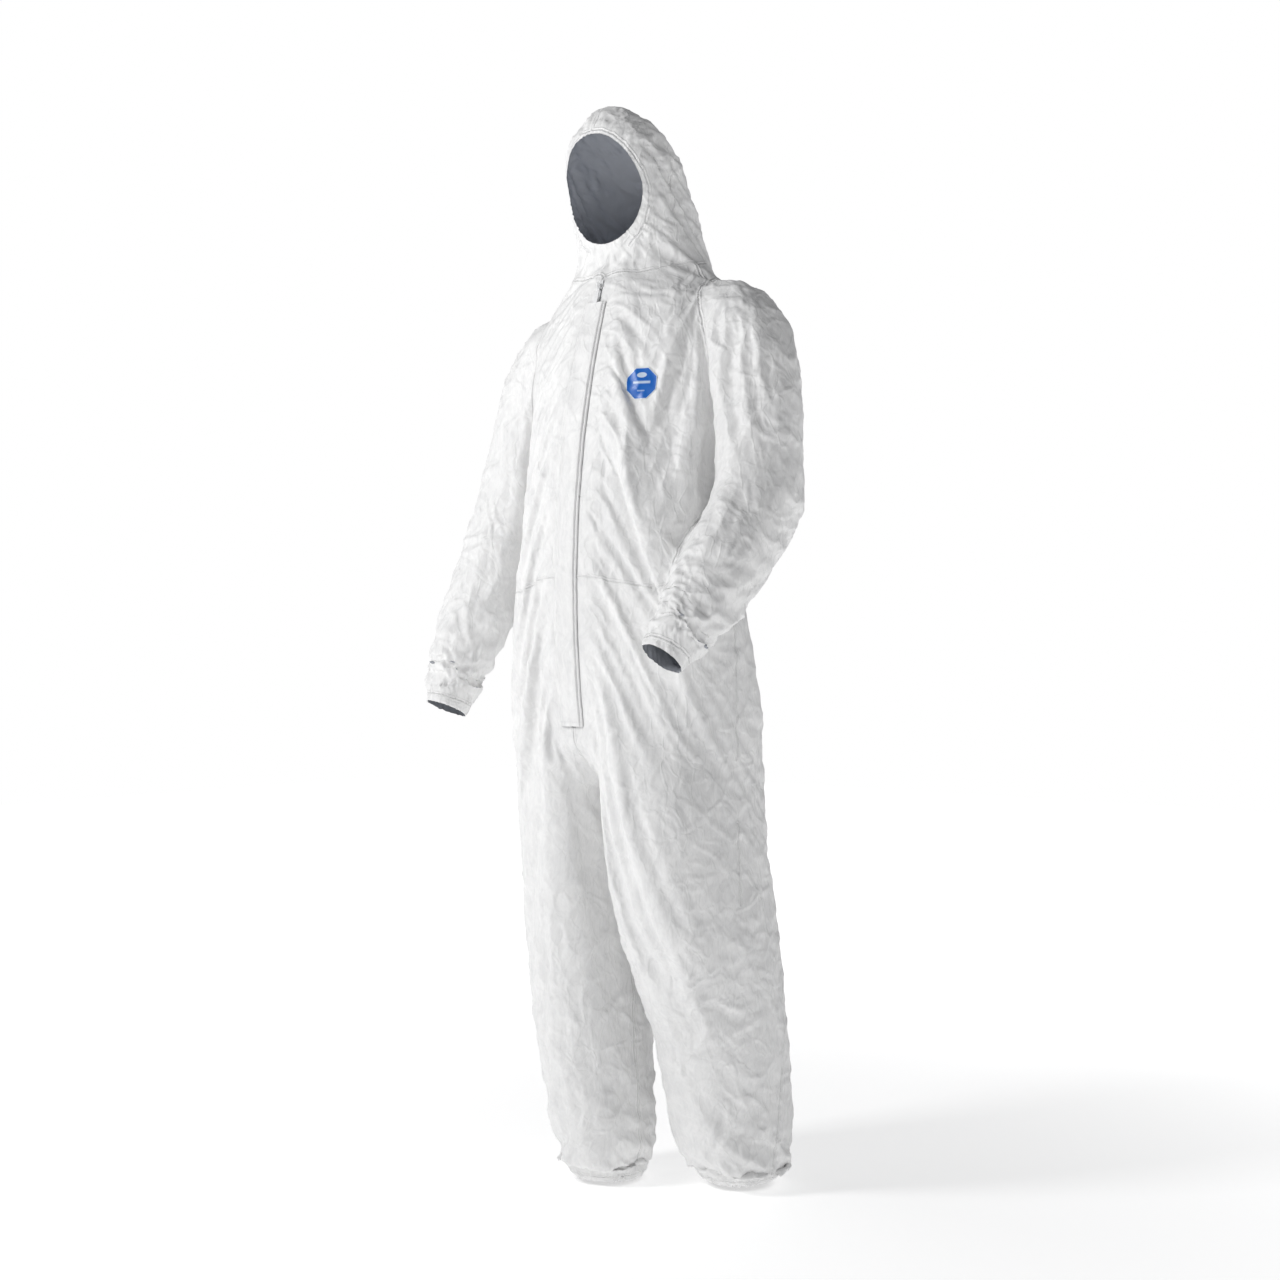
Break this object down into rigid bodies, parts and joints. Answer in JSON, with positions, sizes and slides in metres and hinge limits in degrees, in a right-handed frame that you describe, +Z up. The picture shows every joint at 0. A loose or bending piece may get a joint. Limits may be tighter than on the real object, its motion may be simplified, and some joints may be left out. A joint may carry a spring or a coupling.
{
  "type": "chemical protective suit",
  "caption": "White hooded nonwoven coverall standing as worn, with elasticated face, cuffs, waist and ankles, a front zip under a storm flap and a blue chest badge.",
  "frame": {"origin": "the point midway between the wearer's shoulders, inside the suit, where a hanger or a body holds it", "axes": "+Z up along the suit, -Y out of its front, +X towards the wearer's left hand"},
  "size_m": [0.6656, 0.4433, 1.7224],
  "materials": {
    "white_nonwoven": "matt with a silky sheen",
    "white_elastic": "matt gathered",
    "zip_tape": "woven matt",
    "zip_plastic": "satin moulded",
    "blue_badge": "printed satin",
    "care_label": "satin tape"
  },
  "bodies": {
    "torso": {"chest_panel_left": "white_nonwoven", "chest_panel_right": "white_nonwoven", "hip_panel_left": "white_nonwoven", "hip_panel_right": "white_nonwoven", "seat_panel_left": "white_nonwoven", "seat_panel_right": "white_nonwoven", "upper_back_panel": "white_nonwoven", "waist_elastic": "white_elastic", "crotch_gusset": "white_nonwoven", "neck_fold": "white_nonwoven", "shoulder_fold_left": "white_nonwoven", "shoulder_fold_right": "white_nonwoven", "hip_fold_left": "white_nonwoven", "hip_fold_right": "white_nonwoven", "zip_tape_left": "zip_tape", "zip_tape_right": "zip_tape", "zip_teeth_left": "zip_plastic", "zip_teeth_right": "zip_plastic", "zip_top_stop_left": "zip_plastic", "zip_top_stop_right": "zip_plastic", "zip_bottom_stop": "zip_plastic", "storm_flap_lower": "white_nonwoven", "chest_badge": "blue_badge", "care_label": "care_label"},
    "hood": {"hood_back_panel": "white_nonwoven", "hood_side_panel_left": "white_nonwoven", "hood_side_panel_right": "white_nonwoven", "face_elastic": "white_elastic"},
    "storm_flap": {"storm_flap_upper": "white_nonwoven"},
    "zip_slider": {"zip_slider": "zip_plastic"},
    "zip_pull": {"zip_pull_tab": "zip_plastic"},
    "upper_arm_left": {"upper_sleeve_left": "white_nonwoven", "elbow_fold_left": "white_nonwoven"},
    "forearm_left": {"lower_sleeve_left": "white_nonwoven", "cuff_elastic_left": "white_elastic"},
    "thigh_left": {"thigh_front_left": "white_nonwoven", "thigh_back_left": "white_nonwoven", "knee_fold_left": "white_nonwoven"},
    "shin_left": {"shin_front_left": "white_nonwoven", "shin_back_left": "white_nonwoven", "ankle_elastic_left": "white_elastic"},
    "upper_arm_right": {"upper_sleeve_right": "white_nonwoven", "elbow_fold_right": "white_nonwoven"},
    "forearm_right": {"lower_sleeve_right": "white_nonwoven", "cuff_elastic_right": "white_elastic"},
    "thigh_right": {"thigh_front_right": "white_nonwoven", "thigh_back_right": "white_nonwoven", "knee_fold_right": "white_nonwoven"},
    "shin_right": {"shin_front_right": "white_nonwoven", "shin_back_right": "white_nonwoven", "ankle_elastic_right": "white_elastic"}
  },
  "joints": [
    {"name": "hood_tilt", "type": "hinge", "parent": "torso", "child": "hood", "pos_m": [0, 0.015, 0.046], "axis": [1, 0, 0], "range_deg": [-15, 18], "deforming": ["neck_fold"]},
    {"name": "storm_flap_open", "type": "hinge", "parent": "torso", "child": "storm_flap", "pos_m": [0.02, -0.1549, -0.24485], "axis": [0, 0.2352, 0.9719], "range_deg": [0, 100], "deforming": ["storm_flap_upper"]},
    {"name": "zip_slide", "type": "hinge", "parent": "torso", "child": "zip_slider", "pos_m": [0, 1.29358, -0.48838], "axis": [1, 0, 0], "range_deg": [0, 26.39], "deforming": ["storm_flap_upper", "storm_flap_lower"]},
    {"name": "zip_pull_swing", "type": "hinge", "parent": "zip_slider", "child": "zip_pull", "pos_m": [0, -0.09979, -0.01368], "axis": [-1, 0, 0], "range_deg": [0, 150], "deforming": ["storm_flap_upper", "storm_flap_lower"]},
    {"name": "shoulder_left", "type": "hinge", "parent": "torso", "child": "upper_arm_left", "pos_m": [0.188, 0.008, -0.071], "axis": [0, -1, 0], "range_deg": [0, 60], "deforming": ["shoulder_fold_left"]},
    {"name": "elbow_left", "type": "hinge", "parent": "upper_arm_left", "child": "forearm_left", "pos_m": [0.262, -0.018, -0.335], "axis": [-1, 0, 0], "range_deg": [0, 45], "deforming": ["elbow_fold_left"]},
    {"name": "hip_left", "type": "hinge", "parent": "torso", "child": "thigh_left", "pos_m": [0.107, -0.01, -0.745], "axis": [-1, 0, 0], "range_deg": [-15, 30], "deforming": ["hip_fold_left"]},
    {"name": "knee_left", "type": "hinge", "parent": "thigh_left", "child": "shin_left", "pos_m": [0.118, 0.013, -1.015], "axis": [1, 0, 0], "range_deg": [0, 50], "deforming": ["knee_fold_left"]},
    {"name": "shoulder_right", "type": "hinge", "parent": "torso", "child": "upper_arm_right", "pos_m": [-0.184, 0.008, -0.089], "axis": [0, 1, 0], "range_deg": [0, 60], "deforming": ["shoulder_fold_right"]},
    {"name": "elbow_right", "type": "hinge", "parent": "upper_arm_right", "child": "forearm_right", "pos_m": [-0.264, -0.044, -0.386], "axis": [-0.9278, -0.3147, 0.2004], "range_deg": [-10, 70], "deforming": ["elbow_fold_right"]},
    {"name": "hip_right", "type": "hinge", "parent": "torso", "child": "thigh_right", "pos_m": [-0.107, -0.01, -0.745], "axis": [-1, 0, 0], "range_deg": [-15, 30], "deforming": ["hip_fold_right"]},
    {"name": "knee_right", "type": "hinge", "parent": "thigh_right", "child": "shin_right", "pos_m": [-0.106, -0.004, -1.015], "axis": [1, 0, 0], "range_deg": [0, 50], "deforming": ["knee_fold_right"]}
  ]
}
